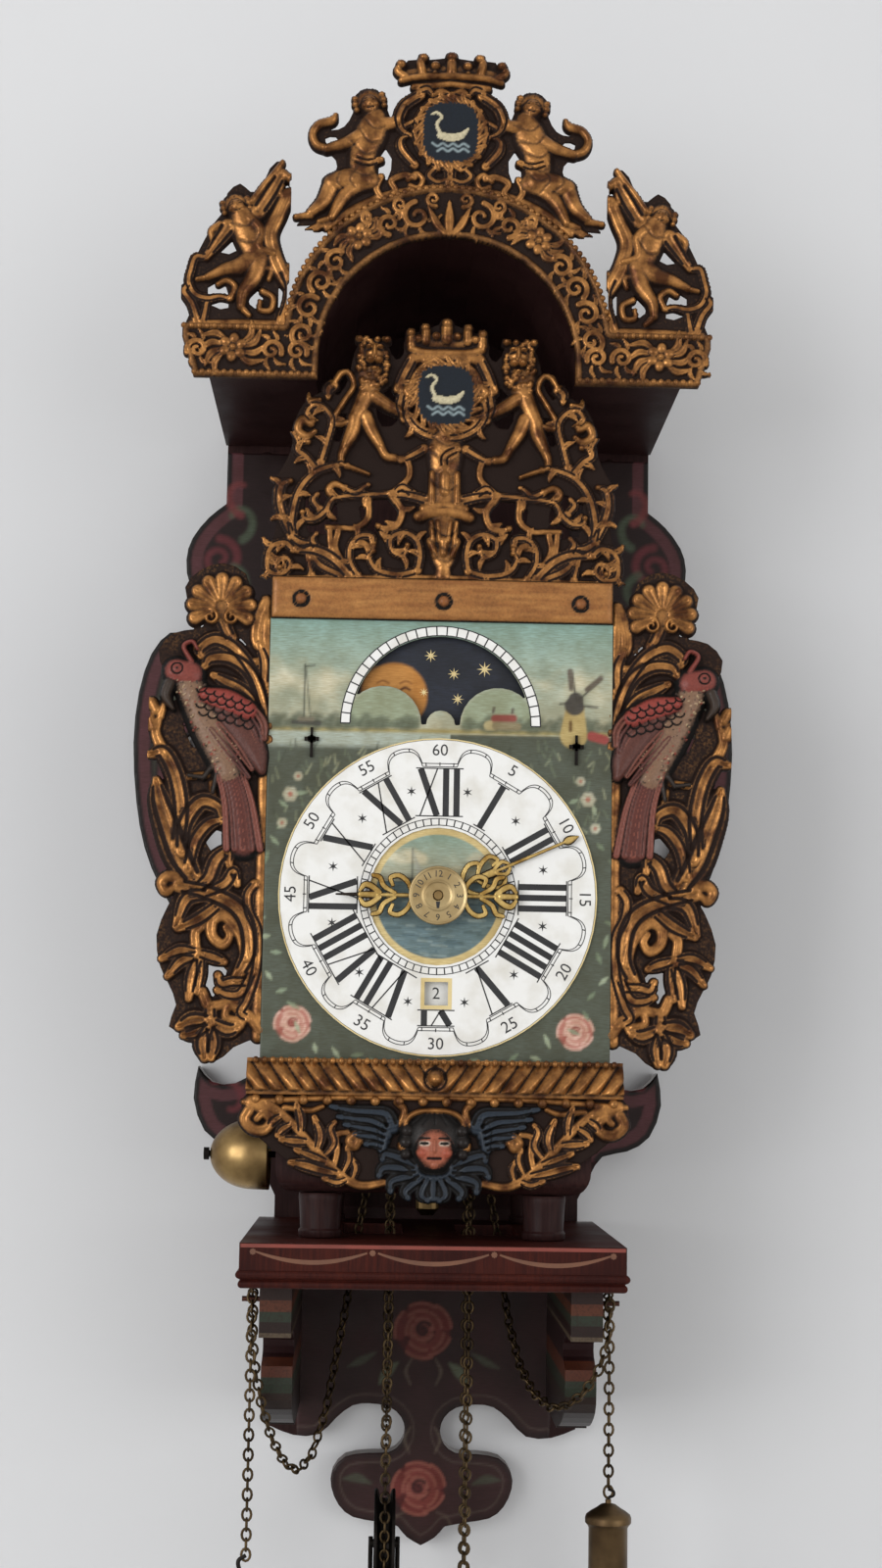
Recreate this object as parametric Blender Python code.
"""Chair clock: a carved wall clock on a bracketed shelf, built piece by piece in metres, +Z up.

The origin is on the wall face of the backboard, straight behind the hand arbor.
X runs to the right, the wall is the plane Y = 0 and the dial looks along -Y.
"""

import math

import bmesh
import bpy
from mathutils import Vector

MM = 0.001

# Clearances
SEAT_GAP = 0.3 * MM
RUN_GAP = 0.3 * MM
MOTION_GAP = 0.8 * MM
FUSE_DEPTH = 0.5 * MM

# Backboard
BOARD_THICK = 12 * MM
BOARD_HALF = 84 * MM
BOARD_FOOT_HALF = 78.3 * MM
BOARD_TOP_INSET = 1 * MM
HANG_HOLE_R = 4 * MM
HANG_HOLE_Z = 222 * MM

# Hood
HOOD_HALF = 114 * MM
HOOD_BOTTOM_Z = 250 * MM
HOOD_SHOULDER_THICK = 16 * MM
HOOD_VAULT_IN_R = 62.5 * MM
HOOD_VAULT_WALL = 6.5 * MM
HOOD_SPRING = 3 * MM
HOOD_OVERHANG = 12.7 * MM
HOOD_FRONT_THICK = 6 * MM
FRET_OPEN_LIP = 1.5 * MM
FRET_BAND_WIDE = 17 * MM
FRET_BAND_RISE = 8 * MM
FRET_DROP = 7 * MM
FRET_RISE = 3 * MM
FRET_SIDE_LIP = 5.5 * MM
FRET_FLARE = 5.8 * MM
FRET_CHAMFER = 7 * MM

# Shelf, its brackets and the chain nails in them
SHELF_HALF = 86 * MM
SHELF_LIP = 24 * MM
SHELF_TOP_Z = -157 * MM
SHELF_TRAY_THICK = 14 * MM
SHELF_BASE_THICK = 6 * MM
SHELF_BASE_STEP = 3 * MM
SHELF_SLOT_EASE = 0.5 * MM
BRACKET_INSET = 8.5 * MM
BRACKET_WIDE = 14.5 * MM
BRACKET_HIGH = 73 * MM
NAIL_R = 1.2 * MM
NAIL_DEPTH = 150 * MM
NAIL_BELOW_SHELF = 7.5 * MM
NAIL_OUT = 8.5 * MM
NAIL_CHAIN_CLEAR = 1.2 * MM

# Stool
LEG_R = 10 * MM
LEG_SIDE_INSET = 20.5 * MM
LEG_END_INSET = 15.5 * MM
LEG_HIGH = 20.1 * MM
SEAT_HALF = 72 * MM
SEAT_BOARD_CLEAR = 8 * MM
SEAT_APRON_CLEAR = 2 * MM
SEAT_THICK = 18.3 * MM
SLOT_CHAIN_CLEAR = 3.5 * MM
SLOT_OUT_X = 42 * MM

# Movement cage
PLATE_THICK = 3 * MM
PLATE_LIP = 1.5 * MM
PLATE_PIN_WALL = 1.75 * MM
CAGE_HIGH = 232 * MM
POST_SIDE = 7 * MM
POST_X = 68 * MM
POST_SET_BACK = 2 * MM
BAR_HALF = 9 * MM
BAR_THICK = 3 * MM

# Side doors
DOOR_THICK = 2.5 * MM
DOOR_STANDOFF = 0.7 * MM
DOOR_DIAL_CLEAR = 4.3 * MM
DOOR_FLOOR_CLEAR = 16.7 * MM
DOOR_CEILING_CLEAR = 5.3 * MM
DOOR_PIN_R = 1.5 * MM

# Trains, all arbors run front to back on the clock's middle line
ARBOR_R = 1.5 * MM
GREAT_Z = -66 * MM
GREAT_TEETH = 36
GREAT_MODULE = 1.8 * MM
SECOND_LEAVES = 9
SECOND_TEETH = 40
SECOND_MODULE = 1.4 * MM
THIRD_LEAVES = 10
ESCAPE_TEETH = 20
ESCAPE_R = 16 * MM
ESCAPE_TOOTH = 3.5 * MM
ESCAPE_RAKE = 5
ANCHOR_RISE = 28 * MM
ANCHOR_HUB_R = 4 * MM
ANCHOR_PALLET_CLEAR = 3.2 * MM
CRUTCH_LONG = 40 * MM
CRUTCH_HALF = 3 * MM
CRUTCH_THICK = 2 * MM
WHEEL_THICK = 2 * MM
PINION_LONG = 6 * MM
GREAT_PLANE = 10 * MM
SECOND_PLANE = 10 * MM
SPROCKET_PITCH_R = 19 * MM
SPROCKET_WIDE = 10 * MM
SPROCKET_ALARM_CLEAR = 1.2 * MM
FLY_HALF = 12 * MM
FLY_LONG = 16 * MM
FLY_THICK = 1.2 * MM
FLY_BAR_CLEAR = 4.5 * MM
PINION_MIDDLE_CLEAR = 7.5 * MM
PINION_FRONT_CLEAR = 3.5 * MM
ALARM_WHEEL_PITCH_R = 20 * MM
ALARM_WHEEL_Z = -93 * MM
ALARM_WHEEL_WIDE = 7.6 * MM
ALARM_WHEEL_CLEAR = 0.7 * MM
ALARM_STUD_R = 2 * MM

# Motion work behind the dial
MINUTE_TEETH = 30
HOUR_LEAVES = 5
HOUR_TEETH = 60
HOUR_PINION_CLEAR = 4.5 * MM
MINUTE_WHEEL_CLEAR = 2 * MM
HOUR_ARBOR_R = 2 * MM
MINUTE_PIPE_R = 4 * MM

# Dial
DIAL_THICK = 2 * MM
DIAL_MARGIN = 6.6 * MM
DIAL_DISC_CLEAR = 0.7 * MM
DIAL_FOOT_R = 2.5 * MM
DIAL_FOOT_TOP_INSET = 17.3 * MM
DIAL_FOOT_BOTTOM_INSET = 30.7 * MM
CHAPTER_R = 74 * MM
CHAPTER_IN_R = 32 * MM
CHAPTER_THICK = 1 * MM
DATE_WINDOW_HALF = 6.5 * MM
DATE_WINDOW_Z = -45 * MM
DATE_DISC_LIP = 1.5 * MM
DISC_STEP = 0.7 * MM
MOON_RING_GAP = 6.5 * MM
MOON_OPEN_R = 42 * MM
MOON_DISC_LIP = 1.5 * MM
MOON_DISC_CLEAR = 0.9 * MM
MOON_HUMP_X = 27 * MM
MOON_HUMP_R = 18 * MM
MOON_MIDDLE_HUMP_R = 6.8 * MM
MOON_STUD_R = 2 * MM
DISC_THICK = 1 * MM
RAIL_MOON_GAP = 7 * MM
RAIL_THICK = 3.4 * MM
RAIL_HIGH = 20.2 * MM
ORNAMENT_THICK = 4 * MM
CORNICE_LIP = 5.4 * MM
CORNICE_OUT = 13.7 * MM
CORNICE_RING_GAP = 1.5 * MM
CORNICE_HIGH = 16.5 * MM
APRON_SET_BACK = 2 * MM
APRON_DROP = 44.5 * MM
HAND_THICK = 1.2 * MM
HAND_RING_CLEAR = 1.4 * MM
MINUTE_HAND_LONG = 72 * MM
MINUTE_HAND_DEG = 66
MINUTE_HUB_R = 7 * MM
HOUR_HAND_LONG = 47 * MM
HOUR_HAND_DEG = -90
HOUR_HUB_R = 5.6 * MM
ALARM_DISC_R = 13.6 * MM

# Pendulum
PENDULUM_BOARD_CLEAR = 22 * MM
PENDULUM_POST_CLEAR = 16 * MM
PENDULUM_ROD_R = 1 * MM
PENDULUM_EYE_R = 4 * MM
PENDULUM_EYE_HALF = 1.1 * MM
PENDULUM_BOB_R = 6 * MM
PENDULUM_BOB_HIGH = 14 * MM
PENDULUM_SWING = 14 * MM
PENDULUM_SLOT_CLEAR = 1 * MM

# Bell and hammer
BELL_R = 17 * MM
BELL_LONG = 29 * MM
BELL_WALL = 1.5 * MM
BELL_SKIRT = 8 * MM
BELL_PLATE_CLEAR = 0.8 * MM
BELL_DEPTH = 90 * MM
BELL_BELOW_SEAT_TOP = 4 * MM
BELL_POST_R = 1.5 * MM
BELL_NUT_R = 3 * MM
BELL_NUT_LONG = 2.5 * MM
HAMMER_ABOVE_FLOOR = 8.7 * MM
HAMMER_HEAD_R = 3 * MM
HAMMER_HEAD_IN = 6 * MM
HAMMER_STRIKE_GAP = 2 * MM
HAMMER_ARM_HALF = 1.3 * MM

# Chains and weights
CHAIN_R = 2.5 * MM
CHAIN_POINT_STEP = 15 * MM
CHAIN_LEAD = 3 * MM
SPREAD_PARTS = 16
PULLEY_Z = -304 * MM
PULLEY_WIDE = 10 * MM
PULLEY_FLANGE = 2 * MM
PULLEY_AXLE_R = 2 * MM
STIRRUP_THICK = 1.5 * MM
STIRRUP_WIDE = 6 * MM
STIRRUP_CLEAR = 10 * MM
MAIN_WEIGHT_R = 22 * MM
MAIN_WEIGHT_CROWN = 7.3 * MM
MAIN_WEIGHT_LONG = 130 * MM
RING_LOOP_Z = -325 * MM
RING_LOOP_R = 10 * MM
RING_MAJOR_R = 9 * MM
RING_MINOR_R = 3.5 * MM
ALARM_WEIGHT_R = 10.4 * MM
ALARM_CAP_LIP = 1.1 * MM
ALARM_WEIGHT_LONG = 75 * MM
ALARM_DROP_LONG = 82 * MM
ALARM_TAIL_LONG = 112 * MM
ALARM_END_R = 6 * MM
ALARM_END_LONG = 26 * MM

# Depths from the wall, worked out from the back of the clock to its front
BOARD_FRONT_Y = -BOARD_THICK
HOOD_BACK_Y = BOARD_FRONT_Y - SEAT_GAP
SEAT_REAR_DEPTH = BOARD_THICK + SEAT_BOARD_CLEAR
PENDULUM_DEPTH = BOARD_THICK + PENDULUM_BOARD_CLEAR
POST_REAR_DEPTH = PENDULUM_DEPTH + PENDULUM_POST_CLEAR
PLATE_REAR_DEPTH = POST_REAR_DEPTH - POST_SIDE
BACK_BAR_DEPTH = POST_REAR_DEPTH
ALARM_WHEEL_DEPTH = BACK_BAR_DEPTH + BAR_THICK / 2 + ALARM_WHEEL_CLEAR + ALARM_WHEEL_WIDE / 2
STRIKE_DEPTH = ALARM_WHEEL_DEPTH + (ALARM_WHEEL_WIDE + SPROCKET_WIDE) / 2 + SPROCKET_ALARM_CLEAR
MIDDLE_BAR_DEPTH = STRIKE_DEPTH + GREAT_PLANE + (FLY_LONG + BAR_THICK) / 2 + FLY_BAR_CLEAR
GOING_DEPTH = MIDDLE_BAR_DEPTH + (BAR_THICK + PINION_LONG) / 2 + PINION_MIDDLE_CLEAR + SECOND_PLANE
FRONT_BAR_DEPTH = GOING_DEPTH + GREAT_PLANE + (PINION_LONG + BAR_THICK) / 2 + PINION_FRONT_CLEAR
POST_FRONT_DEPTH = FRONT_BAR_DEPTH - POST_SET_BACK
PLATE_FRONT_DEPTH = FRONT_BAR_DEPTH + BAR_THICK / 2 + PLATE_LIP
HOUR_WHEEL_DEPTH = FRONT_BAR_DEPTH + (BAR_THICK + PINION_LONG) / 2 + HOUR_PINION_CLEAR
MINUTE_WHEEL_DEPTH = HOUR_WHEEL_DEPTH + (PINION_LONG + WHEEL_THICK) / 2 + MINUTE_WHEEL_CLEAR
MOON_DISC_DEPTH = MINUTE_WHEEL_DEPTH + (WHEEL_THICK + DISC_THICK) / 2 + MOON_DISC_CLEAR
DATE_DISC_DEPTH = MOON_DISC_DEPTH + DISC_THICK + DISC_STEP
DIAL_DEPTH = DATE_DISC_DEPTH + DISC_THICK / 2 + DIAL_DISC_CLEAR + DIAL_THICK
DIAL_BACK_Y = -DIAL_DEPTH + DIAL_THICK
CHAPTER_BACK_Y = -DIAL_DEPTH - SEAT_GAP
MINUTE_HAND_DEPTH = DIAL_DEPTH + SEAT_GAP + CHAPTER_THICK + HAND_RING_CLEAR + HAND_THICK
HOUR_HAND_DEPTH = MINUTE_HAND_DEPTH + MOTION_GAP + HAND_THICK
ALARM_DISC_DEPTH = HOUR_HAND_DEPTH + MOTION_GAP + DISC_THICK
HOUR_ARBOR_FRONT = ALARM_DISC_DEPTH + MOTION_GAP
DOOR_FRONT_DEPTH = DIAL_DEPTH - ORNAMENT_THICK - DOOR_DIAL_CLEAR
HOOD_FRONT_DEPTH = DIAL_DEPTH + HOOD_OVERHANG
HOOD_FRET_BACK_Y = -HOOD_FRONT_DEPTH + HOOD_FRONT_THICK
CORNICE_DEPTH = DIAL_DEPTH + CORNICE_OUT
APRON_DEPTH = CORNICE_DEPTH - APRON_SET_BACK
SEAT_FRONT_DEPTH = APRON_DEPTH - ORNAMENT_THICK - SEAT_APRON_CLEAR
LEG_FRONT_DEPTH = SEAT_FRONT_DEPTH - LEG_END_INSET
LEG_REAR_DEPTH = SEAT_REAR_DEPTH + LEG_END_INSET
SHELF_DEPTH = SEAT_FRONT_DEPTH + SHELF_LIP
LOOP_DEPTH = (GOING_DEPTH + STRIKE_DEPTH) / 2
SLOT_FRONT_DEPTH = GOING_DEPTH + CHAIN_R + SLOT_CHAIN_CLEAR
SLOT_REAR_DEPTH = ALARM_WHEEL_DEPTH - CHAIN_R - SLOT_CHAIN_CLEAR

# Heights and widths worked out from the sizes above
HOOD_ARCH_Z = HOOD_BOTTOM_Z + HOOD_SPRING
HOOD_VAULT_OUT_R = HOOD_VAULT_IN_R + HOOD_VAULT_WALL
HOOD_SHOULDER_Z = HOOD_BOTTOM_Z + HOOD_SHOULDER_THICK
BOARD_NECK_HALF = HOOD_HALF - BOARD_TOP_INSET
FRET_OPEN_R = HOOD_VAULT_IN_R - FRET_OPEN_LIP
FRET_BAND_R = FRET_OPEN_R + FRET_BAND_WIDE
FRET_BAND_Z = HOOD_ARCH_Z + FRET_BAND_RISE
FRET_BOTTOM_Z = HOOD_BOTTOM_Z - FRET_DROP
FRET_TOP_Z = HOOD_SHOULDER_Z + FRET_RISE
FRET_BOTTOM_HALF = HOOD_HALF + FRET_SIDE_LIP
FRET_TOP_HALF = FRET_BOTTOM_HALF + FRET_FLARE
SHELF_TRAY_BOTTOM_Z = SHELF_TOP_Z - SHELF_TRAY_THICK
SHELF_BOTTOM_Z = SHELF_TRAY_BOTTOM_Z - SHELF_BASE_THICK
BRACKET_OUT = SHELF_HALF - BRACKET_INSET
BRACKET_TOP_Z = SHELF_BOTTOM_Z - SEAT_GAP
NAIL_Z = SHELF_BOTTOM_Z - NAIL_BELOW_SHELF
NAIL_CHAIN_X = BRACKET_OUT + CHAIN_R + NAIL_CHAIN_CLEAR
NAIL_TURN_R = NAIL_R + CHAIN_R + SEAT_GAP
LEG_X = SEAT_HALF - LEG_SIDE_INSET
SEAT_BOTTOM_Z = SHELF_TOP_Z + LEG_HIGH + 2 * SEAT_GAP
SEAT_TOP_Z = SEAT_BOTTOM_Z + SEAT_THICK
SLOT_IN_X = SPROCKET_PITCH_R - CHAIN_R - SLOT_CHAIN_CLEAR
CAGE_FLOOR_Z = SEAT_TOP_Z + SEAT_GAP + PLATE_THICK
CAGE_CEILING_Z = CAGE_FLOOR_Z + CAGE_HIGH
POST_OUT_X = POST_X + POST_SIDE / 2
DOOR_IN_X = POST_OUT_X + DOOR_STANDOFF
DOOR_AXIS_X = DOOR_IN_X + DOOR_THICK / 2
DOOR_AXIS_Y = -POST_REAR_DEPTH + POST_SIDE / 2 - SEAT_GAP
DOOR_BOTTOM_Z = CAGE_FLOOR_Z + DOOR_FLOOR_CLEAR
DOOR_TOP_Z = CAGE_CEILING_Z - DOOR_CEILING_CLEAR
PLATE_HALF = DOOR_AXIS_X + DOOR_PIN_R + RUN_GAP + PLATE_PIN_WALL
SECOND_Z = GREAT_Z + GREAT_MODULE * (GREAT_TEETH + SECOND_LEAVES) / 2
THIRD_Z = SECOND_Z + SECOND_MODULE * (SECOND_TEETH + THIRD_LEAVES) / 2
ANCHOR_Z = THIRD_Z + ANCHOR_RISE
MINUTE_MODULE = -GREAT_Z / MINUTE_TEETH
HOUR_MODULE = -2 * GREAT_Z / (HOUR_TEETH + HOUR_LEAVES)
CORNICE_TOP_Z = -CHAPTER_R - CORNICE_RING_GAP
DIAL_BOTTOM_Z = CORNICE_TOP_Z - CORNICE_HIGH
DIAL_HALF = CHAPTER_R + DIAL_MARGIN
DIAL_FOOT_TOP_Z = CAGE_CEILING_Z - DIAL_FOOT_TOP_INSET
DIAL_FOOT_BOTTOM_Z = CAGE_FLOOR_Z + DIAL_FOOT_BOTTOM_INSET
DATE_DISC_R = DATE_WINDOW_HALF - DATE_WINDOW_Z + DATE_DISC_LIP
MOON_Z = CHAPTER_R + MOON_RING_GAP
MOON_DISC_R = MOON_OPEN_R + MOON_DISC_LIP
RAIL_BOTTOM_Z = MOON_Z + MOON_OPEN_R + RAIL_MOON_GAP
DIAL_TOP_Z = RAIL_BOTTOM_Z + RAIL_HIGH
DIAL_CREST_Z = DIAL_TOP_Z + SEAT_GAP
ORNAMENT_IN_X = DIAL_HALF + SEAT_GAP
CORNICE_HALF = DIAL_HALF + CORNICE_LIP
APRON_TOP_Z = DIAL_BOTTOM_Z - SEAT_GAP
PENDULUM_BOB_Z = (SHELF_TOP_Z + SEAT_BOTTOM_Z) / 2
PENDULUM_SLOT_HALF = PENDULUM_SWING + PENDULUM_BOB_R
PENDULUM_SLOT_WIDE = 2 * (PENDULUM_BOB_R + PENDULUM_SLOT_CLEAR)
BELL_Z = SEAT_TOP_Z - BELL_BELOW_SEAT_TOP
BELL_MOUTH_X = -PLATE_HALF - BELL_PLATE_CLEAR
HAMMER_Z = CAGE_FLOOR_Z + HAMMER_ABOVE_FLOOR
HAMMER_HEAD_X = BELL_MOUTH_X - HAMMER_HEAD_IN
HAMMER_HEAD_Z = BELL_Z + BELL_R - BELL_WALL - HAMMER_HEAD_R - HAMMER_STRIKE_GAP
CHAIN_GROOVE = CHAIN_R + RUN_GAP
PULLEY_PITCH_R = (GOING_DEPTH - STRIKE_DEPTH) / 2
STIRRUP_DROP = PULLEY_PITCH_R + PULLEY_FLANGE + STIRRUP_CLEAR + 2 * STIRRUP_THICK
CORNER = "corner"


def clear_scene():
    for item in list(bpy.data.objects):
        bpy.data.objects.remove(item, do_unlink=True)


def material(name, colour, roughness, metallic):
    made = bpy.data.materials.new(name)
    made.use_nodes = True
    shader = made.node_tree.nodes["Principled BSDF"]
    shader.inputs["Base Color"].default_value = (*colour, 1.0)
    shader.inputs["Roughness"].default_value = roughness
    shader.inputs["Metallic"].default_value = metallic
    return made


# Outlines

def corner_at(point):
    return len(point) > 2


def curve_through(points, steps=2):
    """Run a smooth curve through the points, breaking it at the corners."""
    places = [Vector(point[:2]) for point in points]
    found = [places[0]]
    for i in range(len(places) - 1):
        start = places[i]
        end = places[i + 1]
        sharp_start = i == 0 or corner_at(points[i])
        sharp_end = i + 2 == len(places) or corner_at(points[i + 1])
        before = 2 * start - end if sharp_start else places[i - 1]
        after = 2 * end - start if sharp_end else places[i + 2]
        count = 1 if sharp_start and sharp_end else steps
        for step in range(1, count + 1):
            t = step / count
            bend = 2 * before - 5 * start + 4 * end - after
            twist = 3 * start - before - 3 * end + after
            found.append(0.5 * (2 * start + (end - before) * t + bend * t * t + twist * t ** 3))
    return [(place.x, place.y) for place in found]


def closed_curve(points, steps=2):
    """Run a smooth closed curve through the points."""
    run = curve_through([*points[-2:], *points, *points[:3]], steps)
    return run[2 * steps:(2 + len(points)) * steps]


def in_mm(points):
    return [(point[0] * MM, point[1] * MM, *point[2:]) for point in points]


def in_mm3(points):
    return [(x * MM, y * MM, z * MM) for x, y, z in points]


def placed(points, along, up):
    """Outline points in millimetres, counted from a place on the clock."""
    return [(x + along, y + up, *rest) for x, y, *rest in in_mm(points)]


def mirrored(half):
    """Close a right half outline, which starts and ends on the middle line."""
    return half + [(-x, y) for x, y in reversed(half[1:-1])]


def flipped(loop):
    return [(-x, y) for x, y in reversed(loop)]


def arc(centre, radius, start_deg, end_deg, count):
    found = []
    for i in range(count + 1):
        angle = math.radians(start_deg + (end_deg - start_deg) * i / count)
        found.append((centre[0] + radius * math.cos(angle), centre[1] + radius * math.sin(angle)))
    return found


def circle(centre, radius, count=16):
    return arc(centre, radius, 0, 360, count)[:-1]


def rectangle(low_u, low_v, high_u, high_v):
    return [(low_u, low_v), (high_u, low_v), (high_u, high_v), (low_u, high_v)]


def gear_loop(centre, teeth, module, tooth_deg):
    """Pointed teeth on a wheel, with the middle of one tooth at tooth_deg."""
    pitch_r = module * teeth / 2
    root_r = pitch_r - 1.2 * module
    tip_r = pitch_r + 0.85 * module
    root_half = 0.27 * 360 / teeth
    found = []
    for i in range(teeth):
        middle = tooth_deg + 360 * i / teeth
        for radius, turn in ((root_r, -root_half), (tip_r, 0), (root_r, root_half)):
            angle = math.radians(middle + turn)
            found.append((centre[0] + radius * math.cos(angle), centre[1] + radius * math.sin(angle)))
    return found


def mating_deg(line_deg, teeth):
    """Turn of a wheel whose gap faces the tooth of its driver along line_deg."""
    return line_deg + 180 + 180 / teeth


# Solids

PLANES = {
    "xz": (Vector((1, 0, 0)), Vector((0, 0, 1)), Vector((0, 1, 0))),
    "xy": (Vector((1, 0, 0)), Vector((0, 1, 0)), Vector((0, 0, 1))),
    "yz": (Vector((0, 1, 0)), Vector((0, 0, 1)), Vector((1, 0, 0))),
}


def finish(name, bm, finish_material, origin):
    bmesh.ops.recalc_face_normals(bm, faces=bm.faces)
    bmesh.ops.translate(bm, verts=bm.verts, vec=-Vector(origin))
    mesh = bpy.data.meshes.new(name)
    bm.to_mesh(mesh)
    bm.free()
    mesh.shade_smooth()
    mesh.set_sharp_from_angle(angle=math.radians(35))
    made = bpy.data.objects.new(name, mesh)
    made.location = origin
    made.data.materials.append(finish_material)
    bpy.context.collection.objects.link(made)
    return made


def prism(name, loops, plane, start, end, finish_material, origin=(0, 0, 0)):
    """Fill the first loop, less the others, and extrude it from start to end."""
    u_axis, v_axis, depth_axis = PLANES[plane]
    bm = bmesh.new()
    for loop in loops:
        corners = [bm.verts.new(u * u_axis + v * v_axis + start * depth_axis) for u, v in loop]
        for i, vert in enumerate(corners):
            bm.edges.new((vert, corners[(i + 1) % len(corners)]))
    bmesh.ops.triangle_fill(bm, use_beauty=True, use_dissolve=False, edges=bm.edges[:])
    grown = bmesh.ops.extrude_face_region(bm, geom=bm.faces[:])
    moved = [item for item in grown["geom"] if isinstance(item, bmesh.types.BMVert)]
    bmesh.ops.translate(bm, verts=moved, vec=(end - start) * depth_axis)
    return finish(name, bm, finish_material, origin)


TURNING = {
    "x": (Vector((1, 0, 0)), Vector((0, 0, 1))),
    "y": (Vector((0, 1, 0)), Vector((0, 0, 1))),
    "z": (Vector((0, 0, 1)), Vector((1, 0, 0))),
}


def turned(name, profile, axis, centre, finish_material, sides=16, closed=False, origin=None):
    """Spin (radius, place along the axis) points about an axis through the centre."""
    along, out = TURNING[axis]
    centre = Vector(centre)
    bm = bmesh.new()
    verts = [bm.verts.new(centre + radius * out + place * along) for radius, place in profile]
    edges = [bm.edges.new(pair) for pair in zip(verts, verts[1:])]
    if closed:
        edges.append(bm.edges.new((verts[-1], verts[0])))
    spun = verts + edges
    bmesh.ops.spin(bm, geom=spun, cent=centre, axis=along, angle=math.tau, steps=sides, use_merge=True)
    bmesh.ops.remove_doubles(bm, verts=bm.verts, dist=0.00001)
    return finish(name, bm, finish_material, origin or centre)


def rod(name, radius, start, end, axis, centre, finish_material, sides=12):
    profile = [(0, start), (radius, start), (radius, end), (0, end)]
    return turned(name, profile, axis, centre, finish_material, sides)


def hide(tool):
    tool.hide_render = True
    tool.display_type = "WIRE"


def combine(target, tool, operation):
    change = target.modifiers.new(tool.name, "BOOLEAN")
    change.operation = operation
    change.object = tool
    hide(tool)


def fuse(target, *tools):
    for tool in tools:
        combine(target, tool, "UNION")


def cut(target, *tools):
    for tool in tools:
        combine(target, tool, "DIFFERENCE")


def tube(name, points, radius, finish_material):
    """A closed tube along the points, for one stretch of chain."""
    curve = bpy.data.curves.new(name, "CURVE")
    curve.dimensions = "3D"
    curve.bevel_depth = radius
    curve.bevel_resolution = 2
    curve.use_fill_caps = True
    spline = curve.splines.new("POLY")
    spline.points.add(len(points) - 1)
    for spot, place in zip(spline.points, points):
        spot.co = (*place, 1)
    made = bpy.data.objects.new(name, curve)
    made.data.materials.append(finish_material)
    bpy.context.collection.objects.link(made)
    return made


def spread(points, step):
    """Points at an even step along a smooth curve through the route's points."""
    places = [Vector(point) for point in points]
    fine = [places[0]]
    for i in range(len(places) - 1):
        before = places[i - 1] if i else 2 * places[0] - places[1]
        start = places[i]
        end = places[i + 1]
        after = places[i + 2] if i + 2 < len(places) else 2 * end - start
        for part in range(1, SPREAD_PARTS + 1):
            t = part / SPREAD_PARTS
            bend = 2 * before - 5 * start + 4 * end - after
            twist = 3 * start - before - 3 * end + after
            fine.append(0.5 * (2 * start + (end - before) * t + bend * t * t + twist * t ** 3))
    lengths = [(b - a).length for a, b in zip(fine, fine[1:])]
    count = max(2, round(sum(lengths) / step))
    wanted = [sum(lengths) * i / count for i in range(1, count)]
    found = [fine[0]]
    gone = 0
    for a, b, length in zip(fine, fine[1:], lengths):
        while wanted and gone + length >= wanted[0]:
            found.append(a.lerp(b, (wanted[0] - gone) / length))
            wanted.pop(0)
        gone += length
    return found + [fine[-1]]


def straight(start, end, step):
    start = Vector(start)
    end = Vector(end)
    count = max(1, round((end - start).length / step))
    return [start.lerp(end, i / count) for i in range(count + 1)]


# Case: backboard, hood, shelf and brackets

def wing_hole():
    return closed_curve(in_mm([
        (99, 90), (112, 97), (126, 95), (134.5, 84), (137, 66), (134, 46),
        (127, 30), (116, 20), (105, 19), (98.5, 30), (96, 50), (96, 72),
    ]))


def backboard_half():
    top_r = HOOD_VAULT_OUT_R - BOARD_TOP_INSET
    shoulder_z = HOOD_SHOULDER_Z - BOARD_TOP_INSET
    rise_deg = math.degrees(math.asin((shoulder_z - HOOD_ARCH_Z) / top_r))
    top = arc((0, HOOD_ARCH_Z), top_r, 90, rise_deg, 8)
    neck = [(BOARD_NECK_HALF, shoulder_z, CORNER), (BOARD_NECK_HALF, 218 * MM, CORNER)]
    lobe = in_mm([(122, 210.5), (130.5, 199), (133.5, 187), (131, 173), (121, 163), (105, 157), (92, 149)])
    waist = [(BOARD_HALF, 137 * MM, CORNER), (BOARD_HALF, 121 * MM, CORNER)]
    wing = in_mm([
        (100, 121), (112, 126), (123, 136), (132, 145.5), (141, 147.5), (150.5, 136), (156.5, 115),
        (158.5, 88), (156, 57), (151, 33), (142, 12), (128, -8), (108, -20),
    ])
    side = [(BOARD_HALF, -27 * MM, CORNER), (BOARD_HALF, -64 * MM, CORNER)]
    horn = in_mm([
        (88, -80), (100, -89), (112, -88.5), (119.5, -80.5, CORNER), (121.5, -97), (115.5, -113.5),
        (104, -121), (91, -124), (84.5, -134),
    ])
    foot = [(BOARD_FOOT_HALF, -146 * MM, CORNER), (BOARD_FOOT_HALF, -262 * MM, CORNER)]
    tail = in_mm([
        (66, -266.5), (53, -266), (44, -257.5), (36, -251.5), (27, -250.3), (17, -252), (11, -257),
        (9, -263.5), (11, -270), (17, -274.5), (28, -275), (39.3, -277), (45.5, -284), (46, -292),
        (42, -301), (34.7, -306.8), (22.2, -309), (12, -311, CORNER), (7, -316.5), (0, -320.4),
    ])
    return top + curve_through(neck + lobe + waist + wing + side + horn + foot + tail)


def make_backboard(paint):
    hole = wing_hole()
    loops = [mirrored(backboard_half()), hole, flipped(hole), circle((0, HANG_HOLE_Z), HANG_HOLE_R, 12)]
    prism("backboard", loops, "xz", BOARD_FRONT_Y, 0, paint)


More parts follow.
